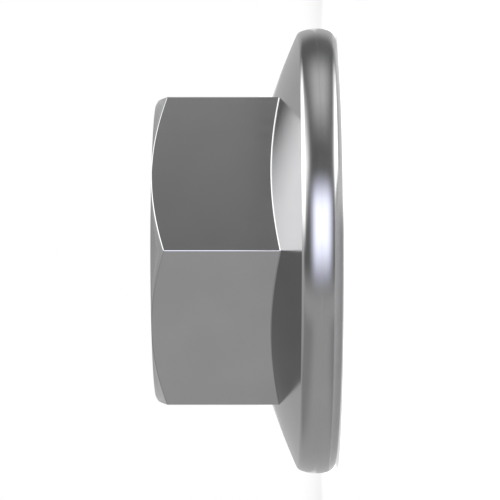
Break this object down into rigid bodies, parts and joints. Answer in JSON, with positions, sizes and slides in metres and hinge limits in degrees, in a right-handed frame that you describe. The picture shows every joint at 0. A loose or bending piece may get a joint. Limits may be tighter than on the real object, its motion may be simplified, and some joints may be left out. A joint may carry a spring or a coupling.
{
  "type": "serrated flange nut",
  "caption": "Hexagon nut with a conical flange; ratchet teeth in its bearing face bite when it is turned to loosen it.",
  "frame": {"origin": "centre of the bearing face, on the axis of the thread", "axes": "+Z along the thread from the bearing face to the top of the hexagon; two corners of the hexagon on the Y axis, two of its flats square to the X axis"},
  "size_m": [0.0118, 0.0118, 0.0047],
  "materials": {
    "bright_steel": "bright and smooth: polished flats with fine lines along the axis, and a slightly softer turned flange"
  },
  "bodies": {
    "root": {"flange_nut": "bright_steel"}
  },
  "joints": []
}
